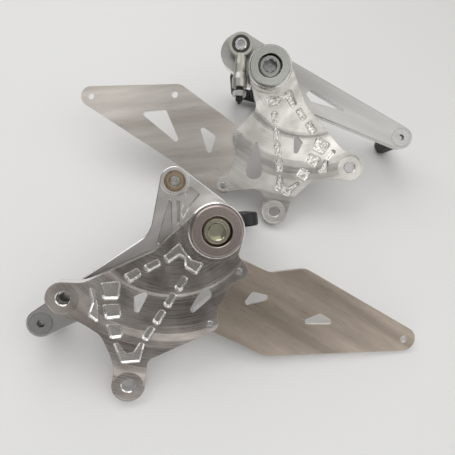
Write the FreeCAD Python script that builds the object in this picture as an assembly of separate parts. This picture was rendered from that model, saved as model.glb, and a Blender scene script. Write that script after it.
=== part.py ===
import FreeCAD, Part
import math
import os

from FreeCAD import Vector

# A set of two rear-set footpeg units, brake and shift, as they lie on a table.
# Each unit is drawn flat in its plate frame: the pivot axis is Z through the origin, Z = 0 is the
# plate's inner face, and the lever and footpeg lie towards -Z. The shift unit is drawn in the same
# hand, then turned and mirrored when it is placed. Sizes are millimetres and degrees.

# Side plates
plate_thick = 10.0
edge_chamfer = 0.6
lug_1 = (-101.0, -33.3)
lug_2 = (-68.0, -98.2)
lug_radius = 11.0
lug_hole_radius = 4.25
lug_hole_chamfer = 0.7
ear_radius = 5.8
brake_ears = ((12.7, -28.8), (-10.1, -62.2))
shift_ears = ((-9.5, -60.6), (-19.4, -102.8))

# Stepped inner face: rings turned about one centre, each lower than the one inside it
step_centre = (-26.0, 17.0)
step_radii = (57.0, 85.5, 114.5)
step_depths = (0.7, 2.0, 3.0)
step_blends = (3.0, 8.0, 7.0)
step_reach = 150.0

# Milled pockets in the inner face, and the windows through the plate
pocket_depth = 4.0
pocket_draft = 1.3
slot_start = (-25.8, -32.4)
slot_end = (-50.6, -63.4)
slot_count = 4
slot_length = 11.0
slot_width = 5.4

# Pivot: boss on the plate, sleeve, bolt, washer and bush
boss_radius = 18.4
boss_height = 3.0
collar_radius = 21.0
collar_height = 1.0
rear_boss_radius = 16.5
rear_boss_height = 4.0
flange_radius = 16.6
flange_thick = 3.6
flange_chamfer = 0.8
sleeve_radius = 12.5
fit_clearance = 0.05
bolt_radius = 6.0
bolt_head_radius = 9.0
bolt_head_height = 12.0
bolt_head_inset = 1.0
bolt_grip = 13.0
socket_flats = 10.0
socket_depth = 6.0
counterbore_radius = 9.8
washer_radius = 17.0
washer_thick = 1.0
bush_wall = 1.6
side_play = 0.1

# Levers
hub_radius = 18.6
hub_thick = 12.0
arm_thick = 9.0
tip_radius = 9.6
brake_tip = (-120.7, -51.9)
brake_elbow = (-43.1, 0.2)
elbow_radius = 18.0
link_centre = (-23.0, 33.4)
link_boss_radius = 9.7
link_boss_proud = 1.0
rib_pocket_depth = 6.0
shift_tip = (-125.4, 13.6)
lobe_centre = (30.5, 1.5)
lobe_radius = 17.0

# Spherical bearing in the brake lever
race_radius = 7.2
race_width = 8.0
ball_radius = 5.6
ball_width = 8.4
ball_clearance = 0.05
link_stud_radius = 3.0
link_stud_length = 16.0
link_neck_radius = 2.4
link_socket_flats = 2.5

# Rod end on the shift lever
rod_eye = (31.5, 4.4)
rod_lean = 6.0
rod_eye_radius = 10.0
rod_eye_width = 6.8
rod_race_radius = 7.6
rod_ball_radius = 6.35
rod_ball_width = 9.0
rod_spacer_length = 4.9
rod_spacer_radius = 4.6
ball_stud_radius = 3.0
shank_radius = 5.0
shank_end_radius = 6.6
shank_length = 35.5
rod_stud_radius = 3.0
rod_stud_length = 11.5
dog_point_length = 2.0
dog_point_radius = 1.4
locknut_flats = 10.0
locknut_thick = 5.0
locknut_gap = 2.5

# Heel guards
guard_thick = 3.0
guard_ear_radius = 6.8
guard_tip_radius = 8.8
guard_hole_radius = 2.75
brake_guard_tip = (130.2, -96.3)
shift_guard_tip = (120.9, -99.8)
shift_guard_hole = (58.9, -59.5)
guard_screw_radius = 2.5
guard_screw_head_radius = 4.7
guard_screw_head_height = 2.7

# Footpegs
peg_reach = 96.7
peg_width = 71.0
peg_height = 10.0
peg_bar = 7.0
peg_window = 12.8
peg_windows = 3
peg_corner = 9.0
peg_chamfer = 1.0
peg_droop = 5.0
shift_peg_twist = 7.0
peg_boss_radius = 14.0
peg_boss_length = 14.0

# Toe pegs and their screws
toe_peg_radius = 7.5
toe_ring_pitch = 7.5
toe_groove_width = 2.2
toe_groove_depth = 1.0
toe_screw_head_radius = 7.8
toe_screw_radius = 4.0
toe_screw_bite = 18.0
toe_socket_flats = 5.0

# How the two units lie: heading of each plate, turn of the shift unit in its own plane, and where
# the two pivots stand
brake_heading = 12.0
shift_heading = -5.0
shift_turn = 24.63
brake_spot = (-7.0, 150.6)
shift_spot = (25.9, 310.6)

# Levels worked out from the sizes above
flange_level = boss_height + flange_thick
rear_level = -plate_thick - rear_boss_height
lever_level = rear_level - washer_thick - side_play
lever_back = lever_level - hub_thick
arm_back = lever_level - arm_thick
peg_level = lever_back - side_play
peg_root = peg_level - peg_boss_length / 2
bush_radius = sleeve_radius + fit_clearance + bush_wall
rod_level = lever_level + rod_spacer_length + rod_ball_width / 2


# Flat outlines and simple solids

def span(a, b):
    return math.hypot(b[0] - a[0], b[1] - a[1])


def tangent_spot(centre, radius, outside, side):
    # Where a line from an outside point touches a circle; side is +1 or -1
    reach = span(centre, outside)
    heading = math.atan2(outside[1] - centre[1], outside[0] - centre[0])
    angle = heading + side * math.acos(radius / reach)
    return (centre[0] + radius * math.cos(angle), centre[1] + radius * math.sin(angle))


def rounded_loop(corners, level):
    # Closed outline through corners (x, y) or (x, y, radius), each radius a true arc
    count = len(corners)
    points = [Vector(c[0], c[1], level) for c in corners]
    radii = [c[2] if len(c) > 2 else 0.0 for c in corners]
    ends = []
    edges = []
    for i in range(count):
        here = points[i]
        back = points[i - 1] - here
        ahead = points[(i + 1) % count] - here
        half = back.getAngle(ahead) / 2
        if radii[i] == 0 or abs(math.sin(2 * half)) < 1e-6:
            ends.append((here, here, None))
            continue
        room = 0.48 * min(back.Length, ahead.Length)
        setback = min(radii[i] / math.tan(half), room)
        radius = setback * math.tan(half)
        start = here + back * (setback / back.Length)
        finish = here + ahead * (setback / ahead.Length)
        inward = back * (1 / back.Length) + ahead * (1 / ahead.Length)
        centre = here + inward * (radius / math.sin(half) / inward.Length)
        middle = centre + (here - centre) * (radius / (here - centre).Length)
        ends.append((start, finish, middle))
    for i in range(count):
        start, finish, middle = ends[i]
        if middle is not None:
            edges.append(Part.Arc(start, middle, finish).toShape())
        following = ends[(i + 1) % count][0]
        if finish.distanceToPoint(following) > 1e-5:
            edges.append(Part.LineSegment(finish, following).toShape())
    return Part.Wire(edges)


def prism(corners, low, high):
    return Part.Face(rounded_loop(corners, low)).extrude(Vector(0, 0, high - low))


def disc(centre, radius, low, high):
    return Part.makeCylinder(radius, high - low, Vector(centre[0], centre[1], low))


def cone(centre, low_radius, high_radius, low, high):
    return Part.makeCone(low_radius, high_radius, high - low, Vector(centre[0], centre[1], low))


def hexagon(centre, flats, low, high):
    corner = flats / math.sqrt(3)
    angles = [math.radians(60 * k) for k in range(6)]
    corners = [(centre[0] + corner * math.cos(a), centre[1] + corner * math.sin(a)) for a in angles]
    return prism(corners, low, high)


def strap(a, a_radius, b, b_radius, low, high):
    # Two discs joined by their outer tangents
    reach = span(a, b)
    heading = math.atan2(b[1] - a[1], b[0] - a[0])
    lean = math.acos((a_radius - b_radius) / reach)
    corners = []
    for centre, radius, sign in ((a, a_radius, 1), (b, b_radius, 1), (b, b_radius, -1), (a, a_radius, -1)):
        angle = heading + sign * lean
        corners.append((centre[0] + radius * math.cos(angle), centre[1] + radius * math.sin(angle)))
    web = prism(corners, low, high)
    return web.fuse([disc(a, a_radius, low, high), disc(b, b_radius, low, high)]).removeSplitter()


def turned(profile, centre=(0.0, 0.0)):
    # Solid of revolution about Z from (radius, level) points
    points = [Vector(centre[0] + r, centre[1], z) for r, z in profile]
    face = Part.Face(Part.makePolygon(points + points[:1]))
    return face.revolve(Vector(centre[0], centre[1], 0), Vector(0, 0, 1), 360)


def edge_loop_chamfer(solid, level, size):
    # Chamfers the outer outline of the flat face that lies at one level
    flats = [f for f in solid.Faces if abs(f.BoundBox.ZMax - level) < 1e-4 and f.BoundBox.ZLength < 1e-4]
    face = max(flats, key=lambda f: f.Area)
    return solid.makeChamfer(size, face.OuterWire.Edges)


def blind_pocket(corners, top, depth):
    # Cutter for a milled pocket whose floor meets its walls with a slanted cove
    cutter = prism(corners, top - depth, top + 5.0)
    floor = [f for f in cutter.Faces if f.BoundBox.ZMax < top - depth + 1e-4][0]
    arcs = [e.Curve.Radius for e in floor.OuterWire.Edges if isinstance(e.Curve, Part.Circle)]
    cove = min([pocket_draft] + [0.8 * radius for radius in arcs])
    return cutter.makeChamfer(cove, floor.OuterWire.Edges)


# Side plates

def front_corners():
    # Shared part of the outline, from the pivot boss round both lugs, counterclockwise
    top_neck = (-87.0, -24.3)
    low_neck = (-92.0, -50.4)
    left_neck = (-75.4, -84.5)
    return [
        (-8.0, 15.6),
        (-41.0, -9.2, 14.0),
        (top_neck[0], top_neck[1], 12.0),
        tangent_spot(lug_1, lug_radius, top_neck, 1),
        tangent_spot(lug_1, lug_radius, low_neck, -1),
        (low_neck[0], low_neck[1], 30.0),
        (-81.0, -60.5, 12.0),
        (-76.8, -75.0, 20.0),
        (left_neck[0], left_neck[1], 8.0),
        tangent_spot(lug_2, lug_radius, left_neck, 1),
    ]


def brake_corners():
    ear_1, ear_2 = brake_ears
    lug_neck = (-53.4, -81.9)
    between = ((-4.4, -52.6), (7.2, -36.4))
    boss_neck = (12.4, -18.0)
    return front_corners() + [
        tangent_spot(lug_2, lug_radius, lug_neck, -1),
        (lug_neck[0], lug_neck[1], 6.0),
        tangent_spot(ear_2, ear_radius, lug_neck, 1),
        tangent_spot(ear_2, ear_radius, between[0], -1),
        (between[0][0], between[0][1], 10.0),
        (between[1][0], between[1][1], 8.0),
        tangent_spot(ear_1, ear_radius, between[1], 1),
        tangent_spot(ear_1, ear_radius, boss_neck, -1),
        (boss_neck[0], boss_neck[1], 5.0),
        tangent_spot((0.0, 0.0), boss_radius, boss_neck, 1),
    ]


def shift_corners():
    ear_1, ear_2 = shift_ears
    lug_neck = ((-52.4, -91.2), (-44.6, -90.2))
    between = ((-18.2, -92.5), (-13.6, -71.5))
    boss_neck = (-8.7, -33.5)
    return front_corners() + [
        tangent_spot(lug_2, lug_radius, lug_neck[0], -1),
        (lug_neck[0][0], lug_neck[0][1], 5.0),
        (lug_neck[1][0], lug_neck[1][1], 8.0),
        tangent_spot(ear_2, ear_radius, lug_neck[1], 1),
        tangent_spot(ear_2, ear_radius, between[0], -1),
        (between[0][0], between[0][1], 8.0),
        (between[1][0], between[1][1], 6.0),
        tangent_spot(ear_1, ear_radius, between[1], 1),
        tangent_spot(ear_1, ear_radius, boss_neck, -1),
        (boss_neck[0], boss_neck[1], 8.0),
        tangent_spot((0.0, 0.0), boss_radius, boss_neck, 1),
    ]


def ring_steps(numbers):
    # Everything above the inner face from the first of these steps outward
    first = step_radii[numbers[0]] - step_blends[numbers[0]]
    depth = 0.0 if numbers[0] == 0 else step_depths[numbers[0] - 1]
    profile = [(first, -depth)]
    for number in numbers:
        radius, next_depth, blend = step_radii[number], step_depths[number], step_blends[number]
        profile.append((radius - blend, -depth))
        for share in (-0.35, 0.35, 1.0):
            fall = (math.sin(share * math.pi / 2) + 1) / 2
            profile.append((radius + share * blend, -depth - (next_depth - depth) * fall))
        depth = next_depth
    profile = [p for i, p in enumerate(profile) if i == 0 or p[0] > profile[i - 1][0] + 1e-6]
    profile += [(step_reach, -depth), (step_reach, 5.0), (first, 5.0)]
    return turned(profile, step_centre)


def lug_step():
    # The last step crosses only the neck of the second lug
    near, far = lug_2[0] + 2 * lug_radius, lug_2[0] - 2 * lug_radius
    low, high = lug_2[1] - 2 * lug_radius, lug_2[1] + 2 * lug_radius
    return ring_steps([2]).common(prism([(far, low), (near, low), (near, high), (far, high)], -plate_thick, 5.0))


def shared_pockets():
    pockets = [
        # three squares down the lug side
        [(-77.2, -25.6, 2.0), (-63.4, -25.8, 2.0), (-66.4, -38.0, 2.0), (-76.6, -37.0, 2.0)],
        [(-77.6, -39.6, 2.0), (-66.0, -41.0, 2.0), (-66.4, -50.4, 2.0), (-76.8, -50.4, 2.0)],
        [(-77.4, -53.0, 2.0), (-67.0, -54.4, 2.0), (-67.0, -63.8, 2.0), (-75.4, -64.0, 2.0)],
        # two along the top edge
        [(-62.2, -22.2, 2.0), (-52.3, -18.0, 2.0), (-49.8, -23.7, 2.0), (-58.8, -28.7, 2.0)],
        [(-49.1, -17.8, 2.0), (-38.7, -13.6, 2.0), (-37.0, -18.9, 2.0), (-46.6, -22.8, 2.0)],
        # the long curved one by the first lug
        [(-84.4, -28.2, 1.3), (-80.6, -28.4, 1.3), (-79.9, -40.0, 1.3), (-81.2, -52.6, 1.3),
         (-87.4, -46.4, 1.3), (-83.2, -38.0, 1.3)],
        # the bent one beside the pivot boss
        [(-35.6, -13.2, 1.6), (-24.0, -5.0, 1.6), (-21.4, -11.4, 1.6), (-17.2, -17.4, 1.6),
         (-9.6, -20.8, 1.6), (-15.6, -28.0, 1.6), (-22.6, -22.4, 1.6), (-22.2, -16.6, 1.6),
         (-25.4, -14.4, 1.6), (-33.4, -18.4, 1.6)],
        # the forked one above the second lug
        [(-74.2, -67.0, 1.2), (-70.6, -66.8, 1.2), (-66.6, -75.0, 1.2), (-62.0, -75.0, 1.2),
         (-56.6, -68.4, 1.2), (-53.8, -70.2, 1.2), (-58.2, -82.4, 1.2), (-70.6, -81.6, 1.2)],
    ]
    run = span(slot_start, slot_end)
    along = ((slot_end[0] - slot_start[0]) / run, (slot_end[1] - slot_start[1]) / run)
    across = (-along[1], along[0])
    for k in range(slot_count):
        middle = k * run / (slot_count - 1)
        corners = []
        for a, b in ((-1, -1), (1, -1), (1, 1), (-1, 1)):
            reach = middle + a * slot_length / 2
            side = b * slot_width / 2
            corners.append((slot_start[0] + along[0] * reach + across[0] * side,
                            slot_start[1] + along[1] * reach + across[1] * side, 2.2))
        pockets.append(corners)
    return pockets


def window_corners():
    return [(-56.8, -37.0, 1.2), (-49.5, -34.8, 1.2), (-47.6, -36.4, 1.2), (-54.8, -48.0, 1.2), (-57.9, -47.2, 1.2)]


def build_plate(corners, ears, slot):
    low = -plate_thick
    blank = prism(corners, low, 0.0)
    rounds = [disc(lug_1, lug_radius, low, 0), disc(lug_2, lug_radius, low, 0), disc((0, 0), boss_radius, low, 0)]
    rounds += [disc(ear, ear_radius, low, 0) for ear in ears]
    blank = blank.fuse(rounds).removeSplitter()
    blank = edge_loop_chamfer(blank, low, edge_chamfer)
    plate = blank.cut([ring_steps([0, 1]), lug_step()])
    collar_area = prism(corners, -0.5, collar_height).fuse(disc((0, 0), boss_radius, -0.5, collar_height))
    collar = disc((0, 0), collar_radius, -0.5, collar_height).common(collar_area)
    boss = turned([(0, -1), (boss_radius, -1), (boss_radius, boss_height - 0.8),
                   (boss_radius - 0.8, boss_height), (0, boss_height)])
    rear = turned([(0, -plate_thick + 1), (rear_boss_radius, -plate_thick + 1), (rear_boss_radius, rear_level),
                   (0, rear_level)])
    plate = plate.fuse([collar, boss, rear]).removeSplitter()
    cuts = [disc((0, 0), sleeve_radius + fit_clearance, rear_level - 1, boss_height + 1)]
    for lug, depth in ((lug_1, step_depths[1]), (lug_2, step_depths[2])):
        face = -depth - 0.2
        cuts.append(disc(lug, lug_radius - 1.2, face, 1.0))
        cuts.append(disc(lug, lug_hole_radius, low - 1, 1.0))
        cuts.append(cone(lug, lug_hole_radius, lug_hole_radius + lug_hole_chamfer, face - lug_hole_chamfer, face))
        cuts.append(cone(lug, lug_hole_radius + lug_hole_chamfer, lug_hole_radius, low, low + lug_hole_chamfer))
    for ear in ears:
        cuts.append(disc(ear, guard_screw_radius + fit_clearance, low - 1, 1.0))
    for corners in shared_pockets():
        cuts.append(blind_pocket(corners, 0.0, pocket_depth))
    cuts.append(prism(window_corners(), low - 1, 1.0))
    cuts.append(slot)
    return plate.cut(cuts).removeSplitter()


def brake_slot():
    return strap((-11.0, -41.7), 4.0, (-20.2, -50.7), 1.9, -plate_thick - 1, 1.0)


def shift_slot():
    return strap((-35.0, -79.2), 6.8, (-24.3, -58.4), 1.3, -plate_thick - 1, 1.0)


# Heel guards

def build_guard(corners, rounds, holes, windows):
    low = -plate_thick - guard_thick
    high = -plate_thick
    sheet = prism(corners, low, high)
    sheet = sheet.fuse([disc(centre, radius, low, high) for centre, radius in rounds]).removeSplitter()
    cuts = [disc(centre, radius, low - 1, high + 1) for centre, radius in holes]
    cuts += [prism(window, low - 1, high + 1) for window in windows]
    return sheet.cut(cuts)


def guard_rounds(ears, tip):
    return [(ears[0], guard_ear_radius), (ears[1], guard_ear_radius), (tip, guard_tip_radius)]


def screw_holes(ears):
    return [(ear, guard_screw_radius + fit_clearance) for ear in ears]


def brake_guard():
    ear_1, ear_2 = brake_ears
    top = (35.0, -34.6)
    crown = (60.4, -34.6)
    heel = (27.0, -94.2)
    corners = [
        tangent_spot(ear_2, guard_ear_radius, heel, -1),
        (heel[0], heel[1], 20.0),
        tangent_spot(brake_guard_tip, guard_tip_radius, heel, 1),
        tangent_spot(brake_guard_tip, guard_tip_radius, crown, -1),
        (crown[0], crown[1], 9.0),
        (top[0], top[1], 14.0),
        tangent_spot(ear_1, guard_ear_radius, top, 1),
        tangent_spot(ear_1, guard_ear_radius, ear_2, -1),
        tangent_spot(ear_2, guard_ear_radius, ear_1, 1),
    ]
    windows = [
        [(12.6, -56.0, 2.0), (21.6, -46.6, 2.0), (39.0, -52.6, 2.0)],
        [(49.4, -73.6, 2.0), (68.6, -68.4, 2.5), (82.4, -78.6, 2.0)],
    ]
    holes = screw_holes(brake_ears) + [(brake_guard_tip, guard_hole_radius)]
    return build_guard(corners, guard_rounds(brake_ears, brake_guard_tip), holes, windows)


def shift_guard():
    ear_1, ear_2 = shift_ears
    crown = (59.6, -49.2)
    corners = [
        tangent_spot(ear_2, guard_ear_radius, shift_guard_tip, -1),
        tangent_spot(shift_guard_tip, guard_tip_radius, ear_2, 1),
        tangent_spot(shift_guard_tip, guard_tip_radius, crown, -1),
        (crown[0], crown[1], 9.0),
        tangent_spot(ear_1, guard_ear_radius, crown, 1),
        tangent_spot(ear_1, guard_ear_radius, ear_2, -1),
        tangent_spot(ear_2, guard_ear_radius, ear_1, 1),
    ]
    windows = [
        [(77.0, -88.6, 2.0), (58.6, -74.6, 2.5), (29.6, -94.2, 2.0)],
        [(27.6, -69.8, 2.0), (9.4, -70.4, 2.5), (4.0, -89.6, 2.0)],
    ]
    holes = screw_holes(shift_ears)
    holes += [(shift_guard_tip, guard_hole_radius), (shift_guard_hole, guard_hole_radius)]
    return build_guard(corners, guard_rounds(shift_ears, shift_guard_tip), holes, windows)


def guard_screws(ears):
    # Button head screws from the outer side, their ends flush with the inner face
    seat = -plate_thick - guard_thick
    screws = []
    for ear in ears:
        low = seat - guard_screw_head_height
        profile = [(0, low), (guard_screw_head_radius * 0.55, low), (guard_screw_head_radius * 0.85, low + 0.9),
                   (guard_screw_head_radius, seat), (guard_screw_radius, seat),
                   (guard_screw_radius, -0.9), (guard_screw_radius - 0.5, -0.4), (0, -0.4)]
        screw = turned(profile, ear)
        socket = hexagon(ear, 3.0, low - 1, low + 1.5)
        dimple = cone(ear, 0.3, 1.1, -1.4, -0.4)
        screws.append(screw.cut([socket, dimple]))
    return Part.Compound(screws)


# Pivot pieces

def pivot_sleeve():
    outline = [
        (0, peg_level), (sleeve_radius, peg_level), (sleeve_radius, boss_height), (flange_radius, boss_height),
        (flange_radius, flange_level - flange_chamfer), (flange_radius - flange_chamfer, flange_level),
        (0, flange_level),
    ]
    head_seat = flange_level - bolt_head_inset - bolt_head_height
    sleeve = turned(outline)
    bore = disc((0, 0), bolt_radius + 0.25, peg_level - 1, flange_level + 1)
    counterbore = disc((0, 0), counterbore_radius, head_seat, flange_level + 1)
    mouth = cone((0, 0), counterbore_radius, counterbore_radius + 0.5, flange_level - 0.5, flange_level)
    return sleeve.cut([bore, counterbore, mouth])


def pivot_bolt():
    top = flange_level - bolt_head_inset
    seat = top - bolt_head_height
    end = peg_level - bolt_grip
    profile = [(0, end), (bolt_radius - 1, end), (bolt_radius, end + 1), (bolt_radius, seat),
               (bolt_head_radius, seat), (bolt_head_radius, top - 1.2), (bolt_head_radius - 1.2, top), (0, top)]
    socket = hexagon((0, 0), socket_flats, top - socket_depth, top + 1)
    lead = cone((0, 0), socket_flats / 2, socket_flats / 2 + 1.2, top - 0.9, top + 0.3)
    return turned(profile).cut([socket, lead])


def thrust_washer():
    low = rear_level - washer_thick
    ring = disc((0, 0), washer_radius, low, rear_level)
    return ring.cut(disc((0, 0), sleeve_radius + 2 * fit_clearance, low - 1, rear_level + 1))


def lever_bush():
    tube = disc((0, 0), bush_radius, lever_back, lever_level)
    return tube.cut(disc((0, 0), sleeve_radius + fit_clearance, lever_back - 1, lever_level + 1))


# Levers

def toe_countersink(tip):
    lip = toe_screw_head_radius - toe_screw_radius
    clearance = fit_clearance * 2
    return [
        disc(tip, toe_screw_radius + clearance, arm_back - 1, lever_level + 1),
        cone(tip, toe_screw_radius + clearance, toe_screw_head_radius + clearance, lever_level - lip, lever_level),
    ]


def hub_with_bore(shape):
    hub = disc((0, 0), hub_radius, lever_back, lever_level)
    bore = disc((0, 0), bush_radius, lever_back - 1, lever_level + 1)
    return shape.fuse(hub).removeSplitter(), bore


def brake_lever():
    # Toe arm and upper arm meet at an elbow; the upper arm is pocketed to leave ribs
    tip_side = tangent_spot(brake_tip, tip_radius, brake_elbow, 1)
    link_side = tangent_spot(link_centre, link_boss_radius, brake_elbow, -1)
    hub_low = tangent_spot((0.0, 0.0), hub_radius, brake_tip, 1)
    toe_arm = strap((0.0, 0.0), hub_radius, brake_tip, tip_radius, arm_back, lever_level)
    upper_arm = strap((0.0, 0.0), hub_radius, link_centre, link_boss_radius, arm_back, lever_level)
    web = prism([(0.0, 0.0), link_centre, link_side, (brake_elbow[0], brake_elbow[1], elbow_radius), tip_side,
                 brake_tip, hub_low], arm_back, lever_level)
    lever = web.fuse([toe_arm, upper_arm]).removeSplitter()
    lever = edge_loop_chamfer(lever, lever_level, edge_chamfer)
    lever, bore = hub_with_bore(lever)
    boss = turned([(0, arm_back), (link_boss_radius, arm_back), (link_boss_radius, lever_level + link_boss_proud - 0.5),
                   (link_boss_radius - 0.5, lever_level + link_boss_proud), (0, lever_level + link_boss_proud)],
                  link_centre)
    lever = lever.fuse(boss).removeSplitter()
    pockets = [
        [(-27.8, 23.6, 0.9), (-39.6, -7.6, 1.2), (-35.6, -11.0, 1.4), (-28.4, -2.0, 1.4), (-26.5, 20.0, 1.2)],
        [(-23.4, 21.0, 0.8), (-20.9, 19.7, 0.8), (-22.8, 5.6, 0.8), (-24.6, 1.6, 0.8)],
        [(-17.5, 25.2, 1.0), (-12.8, 28.9, 1.0), (-7.1, 22.9, 1.2), (-12.5, 17.8, 2.5), (-17.2, 11.8, 2.5),
         (-20.3, 6.4, 0.7), (-21.0, 11.0, 1.5), (-19.3, 17.5, 3.0), (-16.6, 22.2, 1.2)],
    ]
    cuts = [blind_pocket(corners, lever_level, rib_pocket_depth) for corners in pockets]
    cuts.append(disc(link_centre, race_radius, arm_back - 1, lever_level + link_boss_proud + 1))
    cuts.append(bore)
    cuts += toe_countersink(brake_tip)
    return lever.cut(cuts)


def shift_lever():
    arm = strap((0.0, 0.0), hub_radius, shift_tip, tip_radius, arm_back, lever_level)
    lobe = strap((0.0, 0.0), hub_radius, lobe_centre, lobe_radius, arm_back, lever_level)
    lever = arm.fuse(lobe).removeSplitter()
    lever = edge_loop_chamfer(lever, lever_level, edge_chamfer)
    lever, bore = hub_with_bore(lever)
    window = [(-37.6, 7.4, 1.2), (-36.6, 1.6, 1.2), (-43.6, -1.4, 2.0), (-72.0, 6.6, 0.9), (-71.4, 7.8, 0.9)]
    cuts = [prism(window, arm_back - 1, lever_level + 1), bore]
    cuts.append(disc(rod_eye, ball_stud_radius + fit_clearance, arm_back - 1, lever_level + 1))
    cuts += toe_countersink(shift_tip)
    return lever.cut(cuts)


# Spherical bearing of the brake lever

def link_level():
    return lever_level + link_boss_proud - 0.6 - race_width / 2


def link_race():
    middle = link_level()
    ring = disc(link_centre, race_radius, middle - race_width / 2, middle + race_width / 2)
    ball = Part.makeSphere(ball_radius + ball_clearance, Vector(link_centre[0], link_centre[1], middle))
    return ring.cut(ball)


def link_ball():
    middle = link_level()
    top = middle + ball_width / 2
    low = middle - ball_width / 2
    ball = Part.makeSphere(ball_radius, Vector(link_centre[0], link_centre[1], middle))
    ball = ball.common(disc(link_centre, ball_radius + 1, low, top))
    shoulder = arm_back - 0.5
    end = shoulder - link_stud_length
    stud = turned([(0, end), (link_stud_radius - 0.6, end), (link_stud_radius, end + 0.6), (link_stud_radius, shoulder),
                   (link_neck_radius, shoulder), (link_neck_radius, low + 1), (0, low + 1)], link_centre)
    face = disc(link_centre, link_stud_radius - 0.2, top - 0.5, top + 0.5)
    socket = hexagon(link_centre, link_socket_flats, top - 1.5, top + 1)
    return ball.fuse([stud, face]).removeSplitter().cut(socket)


# Rod end of the shift lever, drawn about its eye with the shank along -Y, then set in place

def rod_place(shape):
    # The shank leans from the fall line of the table by rod_lean
    angle = -shift_turn - rod_lean
    placed = shape.copy()
    placed.rotate(Vector(0, 0, 0), Vector(0, 0, 1), angle)
    placed.translate(Vector(rod_eye[0], rod_eye[1], rod_level))
    return placed


def lathe_down(profile):
    # Solid of revolution about the shank's line from (radius, distance below the eye) points
    points = [Vector(r, -d, 0) for r, d in profile]
    face = Part.Face(Part.makePolygon(points + points[:1]))
    return face.revolve(Vector(0, 0, 0), Vector(0, 1, 0), 360)


def rod_end():
    eye = Part.makeCylinder(rod_eye_radius, rod_eye_width, Vector(0, 0, -rod_eye_width / 2))
    shank = lathe_down([(0, 0), (shank_radius - 1.2, 0), (shank_radius - 0.4, rod_eye_radius + 1),
                        (shank_radius + 0.2, rod_eye_radius + 6), (shank_radius + 0.3, shank_length - 12),
                        (shank_end_radius, shank_length - 7), (shank_end_radius, shank_length - 0.6),
                        (shank_end_radius - 0.6, shank_length), (0, shank_length)])
    body = eye.fuse(shank).removeSplitter()
    eye_bore = Part.makeCylinder(rod_race_radius, 4 * rod_eye_width, Vector(0, 0, -2 * rod_eye_width))
    stud_bore = lathe_down([(0, shank_length - 17), (rod_stud_radius + fit_clearance, shank_length - 17),
                            (rod_stud_radius + fit_clearance, shank_length + 1), (0, shank_length + 1)])
    return rod_place(body.cut([eye_bore, stud_bore]))


def rod_race():
    ring = Part.makeCylinder(rod_race_radius, rod_eye_width, Vector(0, 0, -rod_eye_width / 2))
    return rod_place(ring.cut(Part.makeSphere(rod_ball_radius + ball_clearance)))


def rod_ball():
    half = rod_ball_width / 2
    ball = Part.makeSphere(rod_ball_radius)
    ball = ball.common(Part.makeCylinder(rod_ball_radius + 1, rod_ball_width, Vector(0, 0, -half)))
    bore = Part.makeCylinder(ball_stud_radius + fit_clearance, 2 * rod_ball_width, Vector(0, 0, -rod_ball_width))
    return rod_place(ball.cut(bore))


def ball_stud():
    top = rod_level + rod_ball_width / 2 - 0.3
    profile = [(0, arm_back), (ball_stud_radius - 0.6, arm_back), (ball_stud_radius, arm_back + 0.6),
               (ball_stud_radius, top - 0.4), (ball_stud_radius - 0.4, top), (0, top)]
    return turned(profile, rod_eye).cut(cone(rod_eye, 0.2, 0.9, top - 0.8, top))


def rod_spacer():
    high = rod_level - rod_ball_width / 2
    ring = disc(rod_eye, rod_spacer_radius, lever_level, high)
    return ring.cut(disc(rod_eye, ball_stud_radius + fit_clearance, lever_level - 1, high + 1))


def rod_stud():
    end = shank_length + rod_stud_length
    nut_start = shank_length + locknut_gap
    nut_end = nut_start + locknut_thick
    relief = rod_stud_radius - 0.5
    profile = [(0, shank_length - 14), (rod_stud_radius, shank_length - 14), (rod_stud_radius, nut_start + 1),
               (relief, nut_start + 1), (relief, nut_end), (rod_stud_radius, nut_end), (rod_stud_radius, end - 0.6),
               (rod_stud_radius - 0.6, end), (dog_point_radius, end), (dog_point_radius, end + dog_point_length),
               (0, end + dog_point_length)]
    return rod_place(lathe_down(profile))


def rod_locknut():
    start = shank_length + locknut_gap
    nut = hexagon((0, 0), locknut_flats, 0, locknut_thick)
    ring = turned([(0, 0), (locknut_flats / 2 * 0.96, 0), (locknut_flats / 2 * 1.17, 0.9),
                   (locknut_flats / 2 * 1.17, locknut_thick - 0.9), (locknut_flats / 2 * 0.96, locknut_thick),
                   (0, locknut_thick)])
    nut = nut.common(ring).cut(disc((0, 0), rod_stud_radius + fit_clearance, -1, locknut_thick + 1))
    nut.rotate(Vector(0, 0, 0), Vector(1, 0, 0), 90)
    nut.translate(Vector(0, -start, 0))
    return rod_place(nut)


# Footpegs and toe pegs

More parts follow.
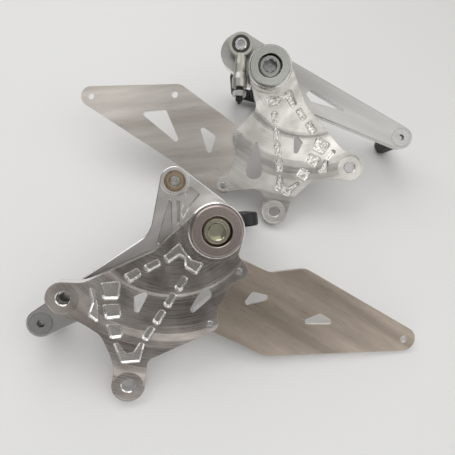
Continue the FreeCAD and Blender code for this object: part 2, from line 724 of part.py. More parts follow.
def footpeg(turn):
    # Open frame: a rounded loop with ribs between its windows, on a round boss that it droops from
    half = peg_width / 2
    inner_end = peg_level - peg_boss_length + peg_bar
    corners = [(-half, -peg_reach, peg_corner), (half, -peg_reach, peg_corner), (half, inner_end, peg_corner),
               (-half, inner_end, peg_corner)]
    frame = prism(corners, -peg_height / 2, peg_height / 2)
    low = -peg_reach + peg_bar
    high = inner_end - peg_bar
    pitch = (peg_width - 2 * peg_bar - peg_window) / (peg_windows - 1)
    holes = []
    for number in range(peg_windows):
        left = -half + peg_bar + number * pitch
        right = left + peg_window
        holes.append(prism([(left, low, 3.0), (right, low, 3.0), (right, high, 3.0), (left, high, 3.0)],
                           -peg_height, peg_height))
    frame = frame.cut(holes)
    outer = [e for e in frame.Edges if abs(abs(e.BoundBox.ZMax) - peg_height / 2) < 1e-4 and e.BoundBox.ZLength < 1e-4]
    frame = frame.makeChamfer(peg_chamfer, outer)
    frame.rotate(Vector(0, 0, 0), Vector(1, 0, 0), 90)
    frame.rotate(Vector(0, 0, peg_root), Vector(1, 0, 0), -peg_droop)
    boss = turned([(0, peg_level - peg_boss_length), (peg_boss_radius - 2, peg_level - peg_boss_length),
                   (peg_boss_radius, peg_level - peg_boss_length + 2), (peg_boss_radius, peg_level), (0, peg_level)])
    peg = frame.fuse(boss).removeSplitter()
    peg = peg.cut(disc((0, 0), bolt_radius + fit_clearance, peg_level - bolt_grip - 2, peg_level + 1))
    peg.rotate(Vector(0, 0, 0), Vector(0, 0, 1), turn)
    return peg


def toe_peg(tip, end):
    # Ringed peg from the back of the lever down to the table
    ring_low = end + 1.2
    profile = [(0, end), (toe_peg_radius - 1.2, end), (toe_peg_radius, ring_low)]
    room = arm_back - 2.0 - ring_low
    rings = int(room // toe_ring_pitch)
    first = ring_low + (room - (rings - 1) * toe_ring_pitch) / 2
    for k in range(rings):
        middle = first + k * toe_ring_pitch
        half = toe_groove_width / 2
        profile += [(toe_peg_radius, middle - half), (toe_peg_radius - toe_groove_depth, middle - half * 0.5),
                    (toe_peg_radius - toe_groove_depth, middle + half * 0.5), (toe_peg_radius, middle + half)]
    profile += [(toe_peg_radius, arm_back - 1.0), (toe_peg_radius - 1.0, arm_back), (0, arm_back)]
    bore = disc(tip, toe_screw_radius + fit_clearance, arm_back - toe_screw_bite - 1, arm_back + 1)
    return turned(profile, tip).cut(bore)


def toe_screw(tip):
    lip = toe_screw_head_radius - toe_screw_radius
    end = arm_back - toe_screw_bite
    profile = [(0, end), (toe_screw_radius - 0.8, end), (toe_screw_radius, end + 0.8),
               (toe_screw_radius, lever_level - lip), (toe_screw_head_radius, lever_level), (0, lever_level)]
    socket = hexagon(tip, toe_socket_flats, lever_level - 2.8, lever_level + 1)
    return turned(profile, tip).cut(socket)


# How a unit lies on the table

def in_plane(point, turn, mirrored):
    # A plate-frame point as it lies in the unit's own sloping plane
    c = math.cos(math.radians(turn))
    s = math.sin(math.radians(turn))
    x = c * point[0] - s * point[1]
    y = s * point[0] + c * point[1]
    return (-x if mirrored else x, y)


def peg_tip(twist):
    # Lower rim of the footpeg's end, in the slope's plane; a twisted footpeg stands on one corner
    droop = math.radians(peg_droop)
    twist = math.radians(twist)
    rim = peg_chamfer - peg_height / 2
    reach = peg_reach + peg_root
    hang = rim * math.cos(droop) - reach * math.sin(droop)
    side = peg_width / 2 - peg_corner
    return (hang * math.cos(twist) - side * math.sin(twist),
            peg_root - rim * math.sin(droop) - reach * math.cos(droop))


class Unit:
    def __init__(self, heading, turn, mirrored, spot, peg_twist):
        self.heading = heading
        self.turn = turn
        self.mirrored = mirrored
        self.spot = spot
        # The unit stands on the back rim of its second lug and on the end of its footpeg
        drop = lug_radius - edge_chamfer - in_plane(lug_2, turn, mirrored)[1]
        tip_y, tip_level = peg_tip(peg_twist)
        self.slope = math.atan2(-tip_level - plate_thick, drop + tip_y)
        self.height = drop * math.sin(self.slope) + plate_thick * math.cos(self.slope)

    def toe_end(self, tip):
        # Level at which the toe peg's lower rim meets the table
        y = in_plane(tip, self.turn, self.mirrored)[1] - toe_peg_radius + 1.2
        return -(self.height + y * math.sin(self.slope)) / math.cos(self.slope)

    def set_down(self, shape, shift=Vector(0, 0, 0)):
        placed = shape.copy()
        placed.rotate(Vector(0, 0, 0), Vector(0, 0, 1), self.turn)
        if self.mirrored:
            placed = placed.mirror(Vector(0, 0, 0), Vector(1, 0, 0))
        placed.rotate(Vector(0, 0, 0), Vector(1, 0, 0), math.degrees(self.slope))
        placed.rotate(Vector(0, 0, 0), Vector(0, 0, 1), self.heading)
        placed.translate(Vector(self.spot[0], self.spot[1], self.height) + shift)
        return placed


brake_unit = Unit(brake_heading, 0.0, False, brake_spot, 0.0)
shift_unit = Unit(shift_heading, shift_turn, True, shift_spot, shift_peg_twist)


def brake_parts():
    return {
        "brake_plate": build_plate(brake_corners(), brake_ears, brake_slot()),
        "brake_heel_guard": brake_guard(),
        "brake_guard_screws": guard_screws(brake_ears),
        "brake_pivot_sleeve": pivot_sleeve(),
        "brake_pivot_bolt": pivot_bolt(),
        "brake_thrust_washer": thrust_washer(),
        "brake_lever": brake_lever(),
        "brake_lever_bush": lever_bush(),
        "brake_link_race": link_race(),
        "brake_link_ball": link_ball(),
        "brake_footpeg": footpeg(0.0),
        "brake_toe_peg": toe_peg(brake_tip, brake_unit.toe_end(brake_tip)),
        "brake_toe_screw": toe_screw(brake_tip),
    }


def shift_parts():
    return {
        "shift_plate": build_plate(shift_corners(), shift_ears, shift_slot()),
        "shift_heel_guard": shift_guard(),
        "shift_guard_screws": guard_screws(shift_ears),
        "shift_pivot_sleeve": pivot_sleeve(),
        "shift_pivot_bolt": pivot_bolt(),
        "shift_thrust_washer": thrust_washer(),
        "shift_lever": shift_lever(),
        "shift_lever_bush": lever_bush(),
        "shift_footpeg": footpeg(shift_peg_twist - shift_turn),
        "shift_toe_peg": toe_peg(shift_tip, shift_unit.toe_end(shift_tip)),
        "shift_toe_screw": toe_screw(shift_tip),
        "shift_rod_end": rod_end(),
        "shift_rod_race": rod_race(),
        "shift_rod_ball": rod_ball(),
        "shift_ball_stud": ball_stud(),
        "shift_rod_spacer": rod_spacer(),
        "shift_rod_stud": rod_stud(),
        "shift_rod_locknut": rod_locknut(),
    }


def build_set():
    flat = [(name, shape, brake_unit) for name, shape in brake_parts().items()]
    flat += [(name, shape, shift_unit) for name, shape in shift_parts().items()]
    laid = {name: unit.set_down(shape) for name, shape, unit in flat}
    box = Part.Compound(list(laid.values())).optimalBoundingBox(False, False)
    shift = Vector(-box.Center.x, -box.Center.y, -box.ZMin)
    for shape in laid.values():
        shape.translate(shift)
    return laid, shift


def main():
    os.makedirs("parts", exist_ok=True)
    laid, shift = build_set()
    for name, shape in laid.items():
        shape.exportStep("parts/" + name + ".step")
    print("set frame shift", [round(c, 3) for c in shift])
    for label, unit, tip in (("brake", brake_unit, brake_tip), ("shift", shift_unit, shift_tip)):
        print(label, "slope", round(math.degrees(unit.slope), 3), "pivot height", round(unit.height, 3),
              "toe peg end", round(unit.toe_end(tip), 2))


main()
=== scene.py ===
import math

import bmesh
import bpy
from mathutils import Matrix, Vector


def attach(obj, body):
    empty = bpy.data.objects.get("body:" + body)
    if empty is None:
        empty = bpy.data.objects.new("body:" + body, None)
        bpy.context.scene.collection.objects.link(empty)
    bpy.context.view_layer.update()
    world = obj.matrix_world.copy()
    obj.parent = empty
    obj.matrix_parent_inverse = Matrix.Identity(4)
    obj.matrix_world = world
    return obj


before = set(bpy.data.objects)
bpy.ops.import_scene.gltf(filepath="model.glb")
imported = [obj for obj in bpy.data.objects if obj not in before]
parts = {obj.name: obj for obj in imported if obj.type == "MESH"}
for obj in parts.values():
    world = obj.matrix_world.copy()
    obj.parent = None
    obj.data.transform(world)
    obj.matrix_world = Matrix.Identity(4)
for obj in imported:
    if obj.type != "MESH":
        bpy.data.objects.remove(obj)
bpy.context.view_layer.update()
print("frame loaded:", len(parts), "parts")

# each unit has a plate frame at its pivot: across and along lie in the plate, out points away from its face
brakeUnit = {
    "centre": (-0.0156728, -0.0643883, 0.0787834),
    "across": (0.978148, 0.207912, 0.0),
    "along": (-0.156985, 0.738556, 0.65566),
    "out": (0.136319, -0.641333, 0.755056),
}
shiftUnit = {
    "centre": (0.0172272, 0.0956117, 0.0845915),
    "across": (-0.876447, 0.41198, 0.249226),
    "along": (0.47867, 0.689471, 0.543604),
    "out": (-0.05212, -0.595737, 0.801487),
}


def placeIn(unit, x, y, level):
    # a point given in millimetres in a unit's plate frame
    spot = Vector(unit["centre"])
    for amount, way in ((x, "across"), (y, "along"), (level, "out")):
        spot += Vector(unit[way]) * amount / 1000
    return spot


class Value:
    # one socket of a finish, so that shader maths reads as an expression
    def __init__(self, finish, socket):
        self.finish = finish
        self.socket = socket

    def maths(self, operation, first, second=None):
        values = [first] if second is None else [first, second]
        return self.finish.add("ShaderNodeMath", {"operation": operation}, values)

    def __add__(self, other):
        return self.maths("ADD", self, other)

    def __radd__(self, other):
        return self.maths("ADD", other, self)

    def __sub__(self, other):
        return self.maths("SUBTRACT", self, other)

    def __rsub__(self, other):
        return self.maths("SUBTRACT", other, self)

    def __mul__(self, other):
        return self.maths("MULTIPLY", self, other)

    def __rmul__(self, other):
        return self.maths("MULTIPLY", other, self)

    def __pow__(self, other):
        return self.maths("POWER", self, other)

    def __abs__(self):
        return self.maths("ABSOLUTE", self)


class Finish:
    # one material built from code, with its shader and its output
    def __init__(self, name, colour, roughness, metallic=0.0, **constants):
        self.material = bpy.data.materials.new(name)
        self.material.use_nodes = True
        self.tree = self.material.node_tree
        self.tree.nodes.clear()
        output = self.tree.nodes.new("ShaderNodeOutputMaterial")
        self.shader = self.tree.nodes.new("ShaderNodeBsdfPrincipled")
        self.tree.links.new(self.shader.outputs[0], output.inputs["Surface"])
        self.set("Base Color", (*colour, 1.0))
        self.set("Roughness", roughness)
        self.set("Metallic", metallic)
        for socket, amount in constants.items():
            self.set(socket.replace("_", " "), amount)

    def set(self, socket, value):
        self.join(value, self.shader.inputs[socket])

    def join(self, value, socket):
        if isinstance(value, Value):
            self.tree.links.new(value.socket, socket)
        else:
            socket.default_value = value

    def add(self, kind, settings=None, sockets=None, take=0):
        # settings come first; a ramp's stops are (place, shade) pairs; sockets is a list or a dictionary
        node = self.tree.nodes.new(kind)
        for key, value in (settings or {}).items():
            if key == "stops":
                bar = node.color_ramp.elements
                while len(bar) < len(value):
                    bar.new(0.5)
                for stop, (place, shade) in zip(bar, value):
                    stop.position = place
                    stop.color = (shade, shade, shade, 1.0)
            else:
                setattr(node, key, value)
        pairs = sockets.items() if isinstance(sockets, dict) else enumerate(sockets or [])
        for key, value in pairs:
            self.join(value, node.inputs[key])
        return Value(self, node.outputs[take])

    def here(self):
        return self.add("ShaderNodeTexCoord", take="Object")

    def vector(self, operation, first, second, take="Vector"):
        return self.add("ShaderNodeVectorMath", {"operation": operation}, [first, second], take)

    def plateSpot(self, unit):
        # across, along and level in the plate frame, in millimetres
        offset = self.vector("SUBTRACT", self.here(), unit["centre"])
        return [self.vector("DOT_PRODUCT", offset, unit[way], "Value") * 1000
                for way in ("across", "along", "out")]

    def joined(self, x, y, z=0.0):
        return self.add("ShaderNodeCombineXYZ", None, [x, y, z])

    def noise(self, spot, scale, detail=2.0, roughness=0.5):
        return self.add("ShaderNodeTexNoise", None,
                        {"Vector": spot, "Scale": scale, "Detail": detail, "Roughness": roughness})

    def ramp(self, value, *stops):
        return self.add("ShaderNodeValToRGB", {"stops": stops}, [value])

    def blend(self, mask, low, high):
        # colours go through a Mix node; sockets 6 and 7 are its two colours
        low = low if isinstance(low, Value) else (*low, 1.0)
        high = high if isinstance(high, Value) else (*high, 1.0)
        return self.add("ShaderNodeMix", {"data_type": "RGBA"}, {0: mask, 6: low, 7: high}, 2)

    def between(self, mask, low, high):
        return low + mask * (high - low)

    def flatness(self, way):
        # 1 where the surface faces along the given direction or against it, 0 on a wall
        normal = self.add("ShaderNodeNewGeometry", take="Normal")
        return abs(self.vector("DOT_PRODUCT", normal, way, "Value"))

    def bumps(self, height, strength, distance, broken=0.0):
        # grain as bumps; a broken edge of this radius in metres catches the light
        sockets = {"Strength": strength, "Distance": distance, "Height": height}
        if broken:
            sockets["Normal"] = self.add("ShaderNodeBevel", {"samples": 4}, {"Radius": broken})
        self.set("Normal", self.add("ShaderNodeBump", None, sockets))


# arc centre and pocket depth are in plate millimetres; a Reach scales along the arcs' radius and a Turn
# round them
milling = {"arcCentre": (-26.0, 17.0), "pocketDepth": 3.6, "grainReach": 2.6, "grainTurn": 2.2,
           "fanReach": 0.05, "fanTurn": 3.2, "smudgeScale": 0.035, "swirlScale": 0.55,
           "grainShare": 0.40, "edgeShade": 0.85, "bumpStrength": 0.14, "bumpHeight": 0.0002}


def milledPlate(name, unit, look):
    # fly-cut face: grain arcs about the step centre and a painted sheen fanning out from it; coves, walls
    # and edges painted brighter as a highlight; pocket floors with cutter swirls
    finish = Finish(name, look["face"], look["rough"], 1.0)
    x, y, level = finish.plateSpot(unit)
    dx = x - milling["arcCentre"][0]
    dy = y - milling["arcCentre"][1]
    reach = (dx * dx + dy * dy) ** 0.5
    turn = finish.add("ShaderNodeMath", {"operation": "ARCTAN2"}, [dy, dx])
    grainSpot = finish.joined(reach * milling["grainReach"], turn * milling["grainTurn"])
    fanSpot = finish.joined(reach * milling["fanReach"], turn * milling["fanTurn"], 3.0)
    fine = finish.noise(grainSpot, 1.0, 3.0, 0.6)
    sheen = finish.noise(fanSpot, 1.0, 2.0)
    smudge = finish.noise(finish.joined(x, y, level), milling["smudgeScale"], 3.0, 0.6)
    swirl = finish.noise(finish.joined(x, y, level), milling["swirlScale"], 2.0, 0.5)
    facing = finish.flatness(unit["out"])
    # tilted faces, such as coves, pocket walls and edges, get a painted highlight colour and a smoother
    # polish
    edge = finish.ramp(facing, (0.86, 1.0), (0.99, 0.0))
    depth = milling["pocketDepth"] * 0.1    # a ramp ends at 1, so depths and radii go in as centimetres
    sunk = finish.ramp(level * -0.1, (depth - 0.02, 0.0), (depth + 0.02, 1.0)) * (1 - edge)
    streak = finish.ramp(fine, (0.32, 0.0), (0.68, 1.0))
    # painted sheen: broad light and dark fans about the arc centre stand for light on the turned arcs
    sheenFan = finish.ramp(sheen, (0.36, 0.0), (0.66, 1.0))
    mixture = streak * milling["grainShare"] + sheenFan * (1 - milling["grainShare"])
    shade = finish.blend(mixture, look["deep"], look["face"])
    shade = finish.blend(finish.ramp(smudge, (0.40, 0.0), (0.75, 0.35)), shade, look["deep"])
    pocket = finish.blend(finish.ramp(swirl, (0.38, 0.0), (0.62, 1.0)), look["face"], look["floor"])
    shade = finish.blend(sunk, shade, pocket)
    # the painted edge highlight goes over the grain, sheen and smudges
    finish.set("Base Color", finish.blend(edge * milling["edgeShade"], shade, look["edge"]))
    rough = finish.between(streak * 0.6 + smudge * 0.4, look["smooth"], look["rough"])
    finish.set("Roughness", rough + edge * (look["edgeRoughness"] - rough))
    height = fine * (1 - edge) * (1 - sunk) + swirl * sunk * look["swirl"]
    finish.bumps(height, milling["bumpStrength"], milling["bumpHeight"], look["broken"])
    return finish.material


# a Run scales along the strokes and a Side across them; the painted toe shade's range is in millimetres
# from the pivot
brushing = {"grainRun": 0.05, "grainSide": 3.2, "bandRun": 0.006, "bandSide": 0.075, "smudgeScale": 0.03,
            "grainShare": 0.40, "edgeShade": 0.8, "edgeRoughness": 0.18, "broken": 0.0004,
            "toeShadeRange": (45.0, 95.0), "bumpStrength": 0.12, "bumpHeight": 0.0002}


def brushedSheet(name, unit, slant, look):
    # sheet or bar brushed in one direction, with broad soft bands across it; edges painted brighter as a
    # highlight; a look with a toe shade grows darker towards the toe, as painted shade for its dark
    # reflection
    finish = Finish(name, look["face"], look["rough"], 1.0)
    x, y, level = finish.plateSpot(unit)
    angle = math.radians(slant)
    run = x * math.cos(angle) + y * math.sin(angle)
    side = y * math.cos(angle) - x * math.sin(angle)
    grainSpot = finish.joined(run * brushing["grainRun"], side * brushing["grainSide"], level)
    bandSpot = finish.joined(run * brushing["bandRun"], side * brushing["bandSide"], 5.0)
    fine = finish.noise(grainSpot, 1.0, 3.0, 0.65)
    bands = finish.noise(bandSpot, 1.0, 2.0)
    smudge = finish.noise(finish.joined(x, y, level), brushing["smudgeScale"], 3.0, 0.6)
    # edges get a painted highlight colour and a smoother polish
    edge = finish.ramp(finish.flatness(unit["out"]), (0.55, 1.0), (0.97, 0.0))
    streak = finish.ramp(fine, (0.30, 0.0), (0.70, 1.0))
    band = finish.ramp(bands, (0.36, 0.0), (0.64, 1.0))
    mixture = streak * brushing["grainShare"] + band * (1 - brushing["grainShare"])
    shade = finish.blend(mixture, look["deep"], look["face"])
    # painted shade: darker towards the toe, standing for the dark reflection that the toe end shows
    if "paintedToeShade" in look:
        nearEnd, farEnd = [place * 0.01 for place in brushing["toeShadeRange"]]
        shade = finish.blend(finish.ramp(x * -0.01, (nearEnd, 0.0), (farEnd, 1.0)), shade, look["paintedToeShade"])
    finish.set("Base Color", finish.blend(edge * brushing["edgeShade"], shade, look["edge"]))
    rough = finish.between(streak * 0.5 + smudge * 0.5, look["smooth"], look["rough"])
    finish.set("Roughness", rough + edge * (brushing["edgeRoughness"] - rough))
    finish.bumps(fine * (1 - edge), brushing["bumpStrength"], brushing["bumpHeight"], brushing["broken"])
    return finish.material


turning = {"ringReach": 4.0, "ringLevel": 3.0, "cloudScale": 0.22, "coreShade": 0.4, "broken": 0.0003,
           "bumpStrength": 0.12, "bumpHeight": 0.00015}


def turnedMetal(name, unit, spot, look):
    # lathe-turned piece: rings about an axis along out, through spot (plate millimetres); a look
    # with a core has another colour inside the radius coreRadius
    finish = Finish(name, look["face"], look["rough"], 1.0)
    x, y, level = finish.plateSpot(unit)
    dx = x - spot[0]
    dy = y - spot[1]
    reach = (dx * dx + dy * dy) ** 0.5
    ringSpot = finish.joined(reach * turning["ringReach"], level * turning["ringLevel"])
    rings = finish.noise(ringSpot, 1.0, 2.0, 0.6)
    cloud = finish.noise(finish.joined(x, y, level), turning["cloudScale"], 3.0, 0.6)
    streak = finish.ramp(rings, (0.3, 0.0), (0.7, 1.0))
    shade = finish.blend(streak, look["deep"], look["face"])
    if "core" in look:
        rim = look["coreRadius"] * 0.1
        inner = finish.ramp(reach * 0.1, (rim - 0.01, 1.0), (rim + 0.01, 0.0))
        core = finish.blend(streak * turning["coreShade"], look["core"], look["face"])
        shade = finish.blend(inner, shade, core)
    tint = finish.ramp(cloud, (0.42, 0.0), (0.66, 1.0))
    finish.set("Base Color", finish.blend(tint * look["tintShare"], shade, look["tint"]))
    finish.set("Roughness", finish.between(streak * 0.5 + cloud * 0.5, look["smooth"], look["rough"]))
    finish.bumps(rings, turning["bumpStrength"], turning["bumpHeight"], turning["broken"])
    return finish.material


anodising = {"metallic": 0.55, "grainScale": 1400.0, "wearScale": 38.0, "bumpStrength": 0.18,
             "bumpHeight": 0.0001}


def blackAnodised(name, look):
    # black anodised aluminium: faint grain, slightly greyer and smoother where it is handled
    finish = Finish(name, look["black"], look["rough"], anodising["metallic"], Specular_IOR_Level=0.5)
    spot = finish.here()
    grain = finish.noise(spot, anodising["grainScale"], 2.0)
    wear = finish.noise(spot, anodising["wearScale"], 4.0, 0.6)
    rubbed = finish.ramp(wear, (0.48, 0.0), (0.72, 1.0))
    finish.set("Base Color", finish.blend(rubbed, look["black"], look["worn"]))
    finish.set("Roughness", finish.between(rubbed * 0.6 + grain * 0.4, look["rough"], look["smooth"]))
    finish.bumps(grain, anodising["bumpStrength"], anodising["bumpHeight"])
    return finish.material


def darkLiner(name):
    look = {"dark": (0.020, 0.019, 0.018), "light": (0.060, 0.055, 0.048), "middle": 0.55,
            "smooth": 0.45, "rough": 0.7, "weaveScale": 900.0}
    finish = Finish(name, look["dark"], look["middle"])
    weave = finish.noise(finish.here(), look["weaveScale"], 2.0)
    finish.set("Base Color", finish.blend(weave, look["dark"], look["light"]))
    finish.set("Roughness", finish.between(weave, look["smooth"], look["rough"]))
    finish.bumps(weave, 0.2, 0.0001)
    return finish.material


# lit and shaded copies of one machined metal: the brake plate is painted darker and warmer as shade, the
# shift plate paler as lit
brakePlateShadedLook = {"face": (0.50, 0.46, 0.43), "deep": (0.19, 0.165, 0.15), "edge": (0.95, 0.94, 0.93),
                  "floor": (0.52, 0.50, 0.48), "smooth": 0.20, "rough": 0.40, "edgeRoughness": 0.14,
                  "broken": 0.0006, "swirl": 0.9}
shiftPlateLitLook = {"face": (0.93, 0.915, 0.87), "deep": (0.42, 0.40, 0.37), "edge": (0.95, 0.94, 0.93),
                  "floor": (0.42, 0.395, 0.365), "smooth": 0.22, "rough": 0.42, "edgeRoughness": 0.14,
                  "broken": 0.0006, "swirl": 0.35}
bareLook = {"face": (0.80, 0.775, 0.75), "deep": (0.54, 0.515, 0.49), "edge": (0.95, 0.94, 0.93),
            "paintedToeShade": (0.27, 0.262, 0.25), "smooth": 0.24, "rough": 0.42}
leverLook = {"face": (0.58, 0.575, 0.55), "deep": (0.38, 0.375, 0.36), "edge": (0.95, 0.94, 0.93),
             "smooth": 0.26, "rough": 0.44}
# the same for the guards: the brake guard is painted darker and warmer as shade, the shift guard paler as
# lit
brakeGuardShadedLook = {"face": (0.64, 0.545, 0.46), "deep": (0.34, 0.285, 0.235), "edge": (0.92, 0.90, 0.88),
             "smooth": 0.22, "rough": 0.38}
shiftGuardLitLook = {"face": (0.83, 0.79, 0.735), "deep": (0.50, 0.455, 0.41), "edge": (0.92, 0.90, 0.88),
                  "smooth": 0.22, "rough": 0.38}
ringLook = {"face": (0.50, 0.44, 0.41), "deep": (0.34, 0.29, 0.265), "tint": (0.44, 0.32, 0.31),
            "tintShare": 0.5, "smooth": 0.22, "rough": 0.36}
paleRingLook = {"face": (0.60, 0.61, 0.575), "deep": (0.42, 0.43, 0.40), "tint": (0.52, 0.56, 0.48),
                "tintShare": 0.4, "smooth": 0.20, "rough": 0.34}
rodEndLook = {"face": (0.60, 0.595, 0.55), "deep": (0.38, 0.375, 0.34), "tint": (0.54, 0.54, 0.44),
              "tintShare": 0.3, "core": (0.46, 0.42, 0.28), "coreRadius": 7.4,
              "smooth": 0.30, "rough": 0.46}
steelLook = {"face": (0.62, 0.62, 0.60), "deep": (0.42, 0.42, 0.41), "tint": (0.55, 0.57, 0.60),
             "tintShare": 0.4, "smooth": 0.18, "rough": 0.34}
# the bolt looks' cores are painted darker as shade in the hex sockets of their heads
steelBoltLook = {"face": (0.58, 0.58, 0.565), "deep": (0.30, 0.30, 0.29), "tint": (0.46, 0.48, 0.47),
                 "tintShare": 0.5, "core": (0.22, 0.22, 0.215), "coreRadius": 5.4,
                 "smooth": 0.14, "rough": 0.30}
yellowBoltLook = {"face": (0.66, 0.645, 0.53), "deep": (0.36, 0.345, 0.27), "tint": (0.60, 0.61, 0.44),
                  "tintShare": 0.5, "core": (0.52, 0.505, 0.36), "coreRadius": 5.4,
                  "smooth": 0.14, "rough": 0.30}
brassLook = {"face": (0.70, 0.58, 0.34), "deep": (0.44, 0.35, 0.19), "tint": (0.78, 0.70, 0.50),
             "tintShare": 0.5, "smooth": 0.20, "rough": 0.34}
raceLook = {"face": (0.36, 0.29, 0.22), "deep": (0.22, 0.17, 0.13), "tint": (0.46, 0.38, 0.28),
            "tintShare": 0.35, "core": (0.52, 0.41, 0.22), "coreRadius": 5.6, "smooth": 0.20, "rough": 0.36}
linkBallLook = {"face": (0.44, 0.43, 0.40), "deep": (0.30, 0.29, 0.27), "tint": (0.52, 0.50, 0.46),
                "tintShare": 0.3, "core": (0.78, 0.77, 0.74), "coreRadius": 2.9,
                "smooth": 0.08, "rough": 0.20}
# the brake toe screw is painted dark as shade, standing for the dark reflection of its head
shadedScrewLook = {"face": (0.27, 0.265, 0.255), "deep": (0.12, 0.118, 0.115), "tint": (0.24, 0.24, 0.235),
                 "tintShare": 0.25, "smooth": 0.16, "rough": 0.30}
paleScrewLook = {"face": (0.54, 0.535, 0.52), "deep": (0.34, 0.335, 0.325), "tint": (0.60, 0.60, 0.60),
                 "tintShare": 0.2, "smooth": 0.16, "rough": 0.30}
polishedLook = {"face": (0.82, 0.82, 0.81), "deep": (0.72, 0.72, 0.71), "tint": (0.76, 0.77, 0.78),
                "tintShare": 0.3, "smooth": 0.06, "rough": 0.14}
pegLook = {"black": (0.018, 0.018, 0.019), "worn": (0.040, 0.040, 0.042), "smooth": 0.30, "rough": 0.46}
oxideLook = {"black": (0.022, 0.021, 0.020), "worn": (0.065, 0.062, 0.058), "smooth": 0.28, "rough": 0.45}

# where the turned pieces have their axes, in the plate frame of their unit
pivot = (0.0, 0.0)
link = (-23.0, 33.4)
eye = (31.5, 4.4)
brakeToe = (-120.7, -51.9)
shiftToe = (-125.4, 13.6)
finishes = {
    "brake_plate": milledPlate("brakePlateMilled", brakeUnit, brakePlateShadedLook),
    "shift_plate": milledPlate("shiftPlateMilled", shiftUnit, shiftPlateLitLook),
    "brake_heel_guard": brushedSheet("brakeGuardBrushed", brakeUnit, -38.0, brakeGuardShadedLook),
    "shift_heel_guard": brushedSheet("shiftGuardBrushed", shiftUnit, -38.0, shiftGuardLitLook),
    "brake_lever": brushedSheet("brakeLeverBrushed", brakeUnit, 22.0, bareLook),
    "shift_lever": brushedSheet("shiftLeverBrushed", shiftUnit, -5.0, leverLook),
    "brake_link_race": turnedMetal("linkRaceBrass", brakeUnit, link, raceLook),
    "brake_link_ball": turnedMetal("linkBallPolished", brakeUnit, link, linkBallLook),
    "shift_rod_end": turnedMetal("rodEndZinc", shiftUnit, eye, rodEndLook),
    "shift_rod_race": darkLiner("rodLinerDark"),
    "shift_rod_ball": turnedMetal("rodBallPolished", shiftUnit, eye, polishedLook),
    "shift_ball_stud": turnedMetal("ballStudSteel", shiftUnit, eye, steelLook),
    "shift_rod_spacer": turnedMetal("rodSpacerTurned", shiftUnit, eye, ringLook),
    "shift_rod_stud": blackAnodised("rodStudOxide", oxideLook),
    "shift_rod_locknut": turnedMetal("rodLocknutZinc", shiftUnit, eye, steelLook),
}
for side, unit, ring, bolt, screw, toe in (
        ("brake", brakeUnit, ringLook, yellowBoltLook, shadedScrewLook, brakeToe),
        ("shift", shiftUnit, paleRingLook, steelBoltLook, paleScrewLook, shiftToe)):
    finishes[side + "_pivot_sleeve"] = turnedMetal(side + "SleeveTurned", unit, pivot, ring)
    finishes[side + "_pivot_bolt"] = turnedMetal(side + "BoltPlated", unit, pivot, bolt)
    finishes[side + "_thrust_washer"] = turnedMetal(side + "WasherSteel", unit, pivot, steelLook)
    finishes[side + "_lever_bush"] = turnedMetal(side + "BushBrass", unit, pivot, brassLook)
    finishes[side + "_toe_screw"] = turnedMetal(side + "ToeScrewZinc", unit, toe, screw)
    finishes[side + "_guard_screws"] = turnedMetal(side + "GuardScrewSteel", unit, pivot, steelLook)
    finishes[side + "_footpeg"] = blackAnodised(side + "FootpegBlack", pegLook)
    finishes[side + "_toe_peg"] = blackAnodised(side + "ToePegBlack", pegLook)

for name, material in finishes.items():
    parts[name].data.materials.clear()
    parts[name].data.materials.append(material)
print("finishes:", len(finishes), "of", len(parts))


def threadRidge(name, start, way, thread, body, finish):
    # a helical ridge that stands a little proud of the plain shank, fading in and out at its ends
    way = Vector(way).normalized()
    side = way.orthogonal().normalized()
    other = way.cross(side)
    halfWidth = thread["halfWidth"] * thread["pitch"]
    rows = int(thread["turns"] * thread["steps"])
    mesh = bmesh.new()
    previous = None
    for row in range(rows + 1):
        angle = math.tau * row / thread["steps"]
        fade = min(1.0, row / thread["fadeRows"], (rows - row) / thread["fadeRows"])
        outward = side * math.cos(angle) + other * math.sin(angle)
        centre = Vector(start) + way * thread["pitch"] * row / thread["steps"]
        ring = [mesh.verts.new(centre + outward * radius + way * shift)
                for radius, shift in ((thread["root"], -halfWidth),
                                      (thread["root"] + thread["rise"] * fade, 0.0),
                                      (thread["root"], halfWidth))]
        if previous:
            for a, b in ((0, 1), (1, 2), (2, 0)):
                mesh.faces.new((previous[a], previous[b], ring[b], ring[a]))
        else:
            mesh.faces.new(ring)
        previous = ring
    mesh.faces.new(list(reversed(previous)))
    bmesh.ops.recalc_face_normals(mesh, faces=mesh.faces)
    data = bpy.data.meshes.new(name)
    mesh.to_mesh(data)
    mesh.free()
    piece = bpy.data.objects.new(name, data)
    bpy.context.scene.collection.objects.link(piece)
    data.materials.append(finish)
    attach(piece, body)


# lengths are in metres, the levels in plate millimetres, and a ridge's half width is a share of its pitch
thread = {"pitch": 0.0010, "root": 0.00292, "rise": 0.00034, "halfWidth": 0.36, "steps": 20, "fadeRows": 8}
rodStud = {"way": (0.034659, -0.803173, -0.594736), "ballLevel": -5.7, "turns": 2.6,
           "starts": {"rodStudThreadNear": 0.0353, "rodStudThreadFar": 0.0434}}
linkPin = {"startLevel": -27.2, "turns": 12.0}
rodWay = Vector(rodStud["way"]).normalized()
rodBall = placeIn(shiftUnit, *eye, rodStud["ballLevel"])
for name, start in rodStud["starts"].items():    # on both sides of the lock nut
    threadRidge(name, rodBall + rodWay * start, rodWay, {**thread, "turns": rodStud["turns"]},
                "shift_rod", finishes["shift_rod_stud"])
threadRidge("linkPinThread", placeIn(brakeUnit, *link, linkPin["startLevel"]), -Vector(brakeUnit["out"]),
            {**thread, "turns": linkPin["turns"]}, "brake_link", finishes["brake_link_ball"])
print("threads added")

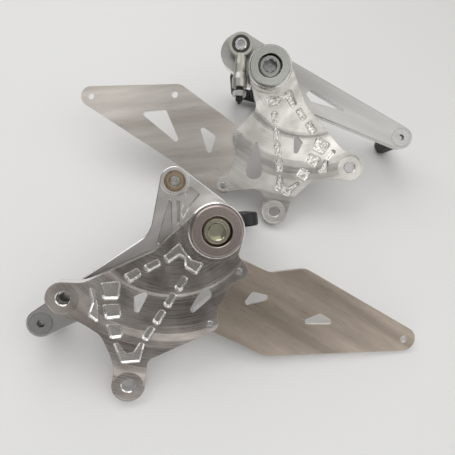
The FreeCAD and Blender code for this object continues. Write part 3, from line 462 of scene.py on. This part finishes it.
studio = {"floor": (0.80, 0.80, 0.79), "floorHalf": 3.0, "floorSmooth": 0.5, "floorRough": 0.7,
          "skyWay": (0.45, 0.25, 0.85), "skyTint": (1.0, 0.985, 0.97),
          "skyStops": ((0.0, 0.16), (0.30, 0.19), (0.52, 0.29), (0.72, 0.60), (1.0, 0.80))}
softboxes = {
    "keySoftbox": {"spot": (-0.35, 0.45, 0.75), "aim": (0.0, 0.0, 0.04), "size": (1.1, 0.8), "power": 3.9},
    "fillSoftbox": {"spot": (0.65, -0.25, 0.6), "aim": (0.0, 0.0, 0.04), "size": (0.9, 0.8), "power": 1.5},
    # low in front, for the bright arcs in the coves
    "rimSoftbox": {"spot": (0.12, -0.72, 0.10), "aim": (0.0, 0.0, 0.03), "size": (1.0, 0.17), "power": 1.1},
    "sideSoftbox": {"spot": (-0.31, -0.52, 0.34), "aim": (0.0, 0.0, 0.04), "size": (0.40, 0.30),
                    "power": 0.34},
    # small ones that the shift plate and its guard mirror
    "cardSoftbox": {"spot": (0.10, -0.22, 0.56), "aim": (0.05, 0.05, 0.04), "size": (0.24, 0.18),
                    "power": 0.15},
    "guardSoftbox": {"spot": (-0.34, -0.12, 0.517), "aim": (-0.11, 0.08, 0.05), "size": (0.16, 0.22),
                     "power": 0.085},
}


def studioFloor():
    data = bpy.data.meshes.new("studioFloor")
    half = studio["floorHalf"]
    data.from_pydata([(-half, -half, 0), (half, -half, 0), (half, half, 0), (-half, half, 0)], [],
                     [(0, 1, 2, 3)])
    floor = bpy.data.objects.new("studioFloor", data)
    bpy.context.scene.collection.objects.link(floor)
    finish = Finish("floorPale", studio["floor"], 0.6)
    cloud = finish.noise(finish.here(), 2.0, 2.0)
    finish.set("Roughness", finish.between(cloud, studio["floorSmooth"], studio["floorRough"]))
    data.materials.append(finish.material)


def studioSky():
    world = bpy.data.worlds.new("studioSky")
    bpy.context.scene.world = world
    world.use_nodes = True
    tree = world.node_tree
    tree.nodes.clear()
    # a soft sky, darker low in front and brighter overhead
    output = tree.nodes.new("ShaderNodeOutputWorld")
    sky = tree.nodes.new("ShaderNodeBackground")
    place = tree.nodes.new("ShaderNodeTexCoord")
    height = tree.nodes.new("ShaderNodeVectorMath")
    height.operation = "DOT_PRODUCT"
    height.inputs[1].default_value = Vector(studio["skyWay"]).normalized()
    fall = tree.nodes.new("ShaderNodeValToRGB")
    bar = fall.color_ramp.elements
    while len(bar) < len(studio["skyStops"]):
        bar.new(0.5)
    for stop, (spot, shade) in zip(bar, studio["skyStops"]):
        stop.position = spot
        stop.color = (*[shade * part for part in studio["skyTint"]], 1.0)
    tree.links.new(place.outputs["Generated"], height.inputs[0])
    tree.links.new(height.outputs["Value"], fall.inputs[0])
    tree.links.new(fall.outputs[0], sky.inputs["Color"])
    tree.links.new(sky.outputs[0], output.inputs["Surface"])


def softbox(name, spot, aim, size, power):
    data = bpy.data.lights.new(name, "AREA")
    data.shape = "RECTANGLE"
    data.size, data.size_y = size
    data.energy = power
    lamp = bpy.data.objects.new(name, data)
    lamp.location = spot
    lamp.rotation_euler = (Vector(aim) - Vector(spot)).to_track_quat("-Z", "Y").to_euler()
    bpy.context.scene.collection.objects.link(lamp)


def photoCamera():
    # looks down along +Y with a small roll, as the photograph does
    view = {"spot": (-0.008673, -0.214988, 0.315028), "down": 57.0, "roll": 4.0, "lens": 34.5}
    data = bpy.data.cameras.new("photoCamera")
    data.sensor_width = 36.0
    data.lens = view["lens"]
    data.clip_start = 0.01
    camera = bpy.data.objects.new("photoCamera", data)
    down = math.radians(view["down"])
    roll = math.radians(view["roll"])
    level = Vector((1, 0, 0))
    rise = Vector((0, math.sin(down), math.cos(down)))
    back = Vector((0, -math.cos(down), math.sin(down)))
    right = level * math.cos(roll) + rise * math.sin(roll)
    top = rise * math.cos(roll) - level * math.sin(roll)
    turn = Matrix((right, top, back)).transposed().to_4x4()
    camera.matrix_world = Matrix.Translation(view["spot"]) @ turn
    bpy.context.scene.collection.objects.link(camera)
    bpy.context.scene.camera = camera


studioFloor()
studioSky()
for name, lamp in softboxes.items():
    softbox(name, **lamp)
photoCamera()
bpy.context.scene.view_settings.view_transform = "Standard"
print("studio ready")
